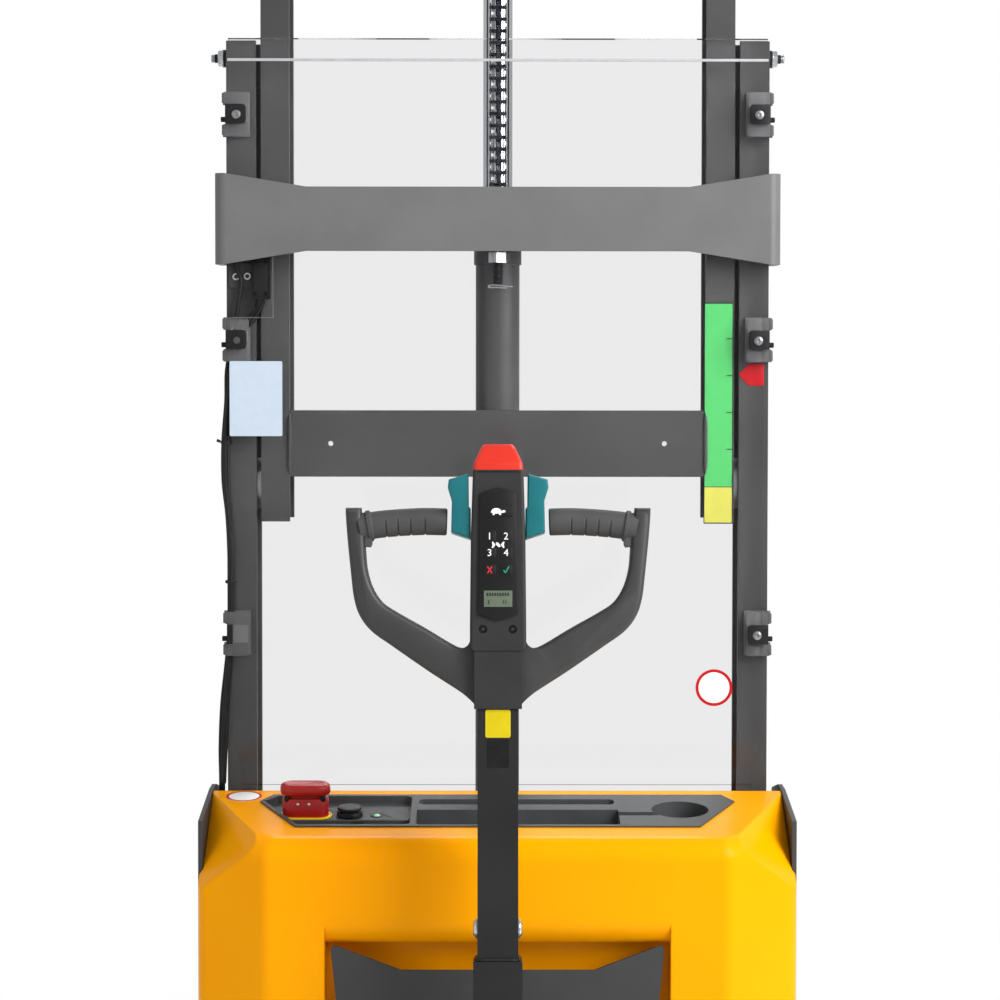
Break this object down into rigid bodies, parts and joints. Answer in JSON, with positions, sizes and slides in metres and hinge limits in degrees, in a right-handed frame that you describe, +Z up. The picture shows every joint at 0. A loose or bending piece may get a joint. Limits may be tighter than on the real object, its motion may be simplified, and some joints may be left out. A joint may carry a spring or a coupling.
{
  "type": "electric stacker",
  "caption": "Pedestrian electric stacker with tiller, sloped hood, two-stage mast and raised forks over support arms",
  "frame": {"origin": "middle of the footprint's box, on the floor the wheels stand on", "axes": "+Z up, +Y forward from the tiller to the fork tips, +X to the driver's right"},
  "size_m": [0.78, 1.74, 2.914],
  "materials": {
    "charcoal_paint": "semi-gloss",
    "yellow_paint": "gloss",
    "chrome": "polished",
    "zinc_steel": "satin",
    "bright_steel": "ground",
    "chain_steel": "oiled",
    "clear_sheet": "clear",
    "black_plastic": "matt",
    "grey_plastic": "textured",
    "teal_plastic": "satin",
    "red_plastic": "satin",
    "tyre": "matt",
    "polyurethane": "satin"
  },
  "bodies": {
    "chassis": {"chassis_frame": "charcoal_paint", "support_arms": "charcoal_paint", "battery_block": "black_plastic", "hood_shell": "yellow_paint", "hood_apron": "charcoal_paint", "console_tray": "black_plastic", "emergency_stop": "red_plastic", "key_switch": "black_plastic", "outer_mast": "charcoal_paint", "mast_yoke": "charcoal_paint", "mast_adjusters": "zinc_steel", "lift_cylinder": "charcoal_paint", "chain_anchor": "zinc_steel", "guard_upper": "clear_sheet", "guard_lower": "clear_sheet", "guard_clips": "zinc_steel", "mast_cables": "black_plastic", "chain_fixed_run": "chain_steel"},
    "inner_mast": {"inner_mast_channels": "charcoal_paint", "inner_mast_ties": "charcoal_paint", "inner_mast_rollers": "bright_steel", "lift_rod": "chrome", "pulley_yoke": "charcoal_paint", "chain_wrap": "chain_steel"},
    "chain_pulley": {"chain_pulley": "bright_steel"},
    "carriage": {"carriage_frame": "charcoal_paint", "carriage_rollers": "bright_steel", "fork_left": "charcoal_paint", "fork_right": "charcoal_paint", "chain_lift_run": "chain_steel"},
    "drive_unit": {"drive_bracket": "charcoal_paint", "drive_motor": "charcoal_paint"},
    "drive_wheel": {"drive_wheel": "zinc_steel", "drive_tyre": "tyre"},
    "tiller": {"tiller_arm": "charcoal_paint", "tiller_head": "grey_plastic", "tiller_loop": "grey_plastic", "tiller_grips": "grey_plastic", "tiller_rockers": "teal_plastic", "tiller_keypad": "black_plastic", "reversing_button": "red_plastic"},
    "caster_fork_left": {"caster_fork_left": "charcoal_paint"},
    "caster_fork_right": {"caster_fork_right": "charcoal_paint"},
    "caster_wheel_left": {"caster_wheel_left": "polyurethane"},
    "caster_wheel_right": {"caster_wheel_right": "polyurethane"},
    "load_roller_left": {"load_roller_left": "polyurethane"},
    "load_roller_right": {"load_roller_right": "polyurethane"}
  },
  "joints": [
    {"name": "mast_lift", "type": "slide", "parent": "chassis", "child": "inner_mast", "axis": [0, 0, 1], "range_m": [-1.1, 0.15], "deforming": ["chain_fixed_run"]},
    {"name": "carriage_lift", "type": "slide", "parent": "inner_mast", "child": "carriage", "axis": [0, 0, 1], "range_m": [-1.1, 0.15], "deforming": ["chain_lift_run"]},
    {"name": "pulley_spin", "type": "hinge", "parent": "inner_mast", "child": "chain_pulley", "pos_m": [0, -0.382, 2.86], "axis": [1, 0, 0], "continuous": true},
    {"name": "steering", "type": "hinge", "parent": "chassis", "child": "drive_unit", "pos_m": [0, -0.724, 0.338], "axis": [0, 0, 1], "range_deg": [-90, 90]},
    {"name": "drive_spin", "type": "hinge", "parent": "drive_unit", "child": "drive_wheel", "pos_m": [0, -0.724, 0.11], "axis": [1, 0, 0], "continuous": true},
    {"name": "tiller_tilt", "type": "hinge", "parent": "drive_unit", "child": "tiller", "pos_m": [0, -0.834, 0.44], "axis": [1, 0, 0], "range_deg": [0, 78], "stiffness_Nm_per_rad": 30, "springref_deg": -34.38},
    {"name": "caster_swivel_left", "type": "hinge", "parent": "chassis", "child": "caster_fork_left", "pos_m": [-0.275, -0.56, 0.178], "axis": [0, 0, 1], "continuous": true},
    {"name": "caster_spin_left", "type": "hinge", "parent": "caster_fork_left", "child": "caster_wheel_left", "pos_m": [-0.275, -0.592, 0.065], "axis": [1, 0, 0], "continuous": true},
    {"name": "load_roller_spin_left", "type": "hinge", "parent": "chassis", "child": "load_roller_left", "pos_m": [-0.195, 0.745, 0.034], "axis": [1, 0, 0], "continuous": true},
    {"name": "caster_swivel_right", "type": "hinge", "parent": "chassis", "child": "caster_fork_right", "pos_m": [0.275, -0.56, 0.178], "axis": [0, 0, 1], "continuous": true},
    {"name": "caster_spin_right", "type": "hinge", "parent": "caster_fork_right", "child": "caster_wheel_right", "pos_m": [0.275, -0.592, 0.065], "axis": [1, 0, 0], "continuous": true},
    {"name": "load_roller_spin_right", "type": "hinge", "parent": "chassis", "child": "load_roller_right", "pos_m": [0.195, 0.745, 0.034], "axis": [1, 0, 0], "continuous": true}
  ],
  "couplings": [
    {"joint": "carriage_lift", "follows": "mast_lift", "ratio": 1}
  ]
}
